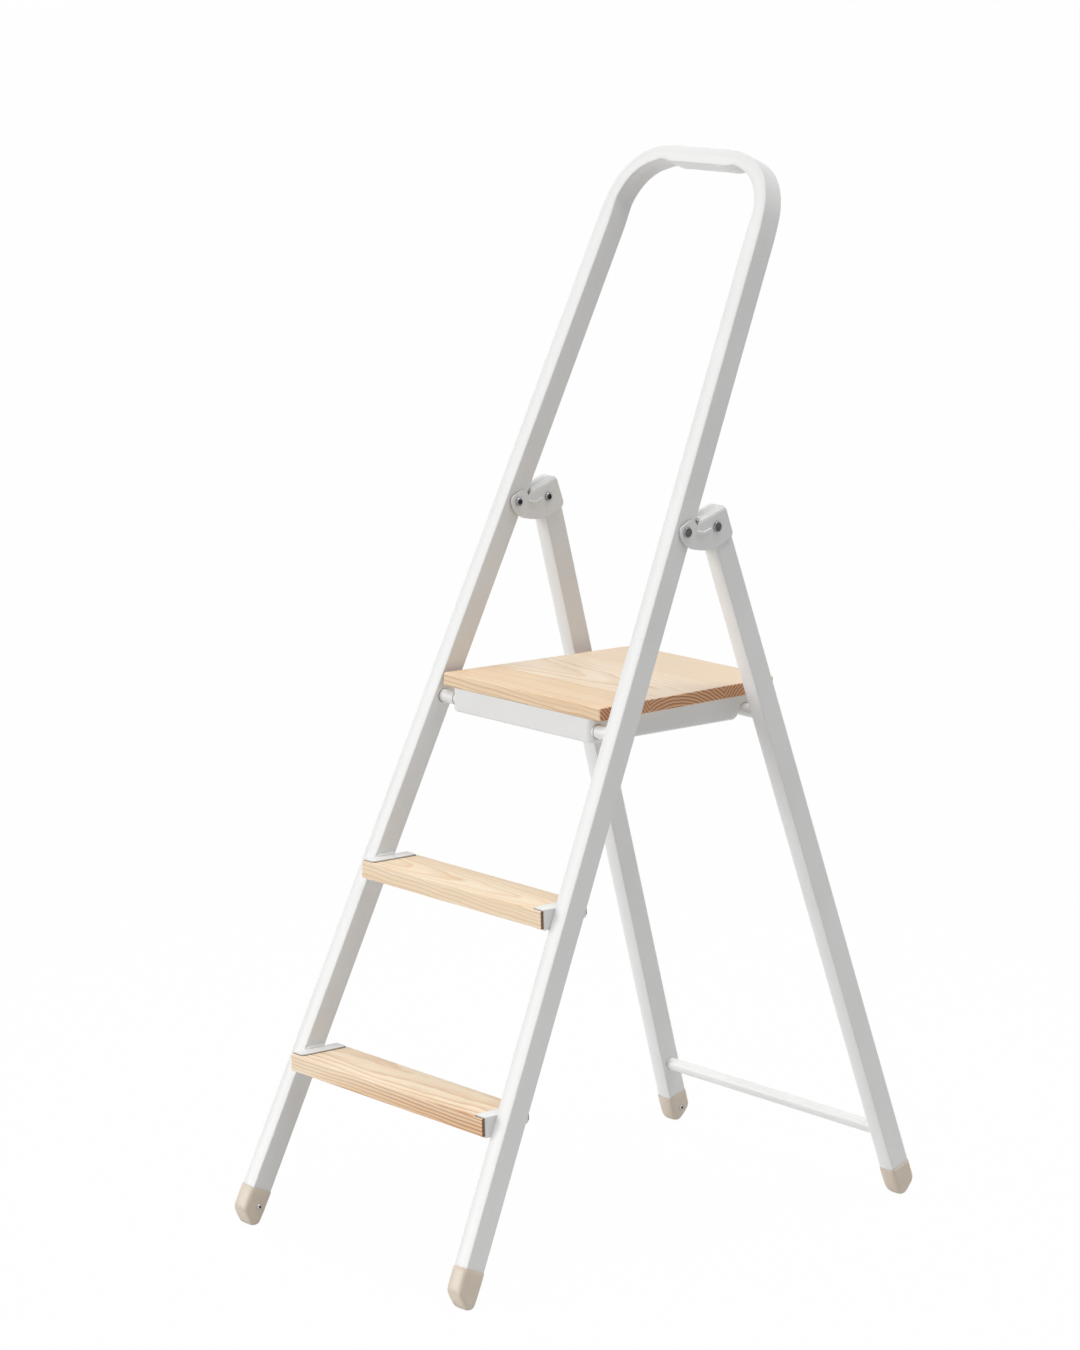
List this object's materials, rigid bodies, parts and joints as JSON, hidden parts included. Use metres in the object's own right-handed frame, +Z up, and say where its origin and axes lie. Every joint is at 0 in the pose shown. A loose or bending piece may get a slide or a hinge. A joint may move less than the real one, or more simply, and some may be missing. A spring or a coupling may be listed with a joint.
{
  "type": "stepladder",
  "caption": "Free-standing folding stepladder with a bent tube front frame and grip, wooden treads, a hooked wooden platform and straight rear legs.",
  "frame": {"origin": "on the floor, in the middle of the width and midway between the front toes and the rear heels", "axes": "+Z up, +Y from the climbing side to the rear legs, +X to the right of a climber who faces +Y"},
  "size_m": [0.4736, 0.7836, 1.3842],
  "materials": {
    "white_steel": "white powder coat, satin",
    "wood": "pale clear-coated wood, long grain from side to side, darker end grain",
    "foot_rubber": "beige, matt",
    "bolt_steel": "polished",
    "screw_steel": "plain zinc"
  },
  "bodies": {
    "front": {"front_foot_left": "foot_rubber", "front_foot_right": "foot_rubber", "front_foot_screws": "screw_steel", "front_frame_tube": "white_steel", "lower_tread_board": "wood", "lower_tread_bracket_left": "white_steel", "lower_tread_bracket_right": "white_steel", "platform_pivot_bar": "white_steel", "tread_screws": "screw_steel", "upper_tread_board": "wood", "upper_tread_bracket_left": "white_steel", "upper_tread_bracket_right": "white_steel"},
    "rear": {"hinge_bracket_left": "white_steel", "hinge_bracket_right": "white_steel", "hook_bar": "white_steel", "leg_barrel_nuts": "bolt_steel", "leg_screws": "bolt_steel", "pivot_barrel_nuts": "bolt_steel", "pivot_screws": "bolt_steel", "rear_crossbar": "white_steel", "rear_foot_left": "foot_rubber", "rear_foot_right": "foot_rubber", "rear_foot_screws": "screw_steel", "rear_leg_left": "white_steel", "rear_leg_right": "white_steel"},
    "platform": {"platform_board": "wood", "platform_pan": "white_steel", "platform_screws": "screw_steel"}
  },
  "joints": [
    {"name": "rear_fold", "type": "hinge", "parent": "front", "child": "rear", "pos_m": [0, 0.02132, 0.921], "axis": [-1, 0, 0], "range_deg": [0, 41]},
    {"name": "platform_lift", "type": "hinge", "parent": "front", "child": "platform", "pos_m": [0, -0.08946, 0.674], "axis": [1, 0, 0], "range_deg": [0, 66.5]}
  ],
  "couplings": [
    {"joint": "platform_lift", "follows": "rear_fold", "ratio": 1.62}
  ]
}
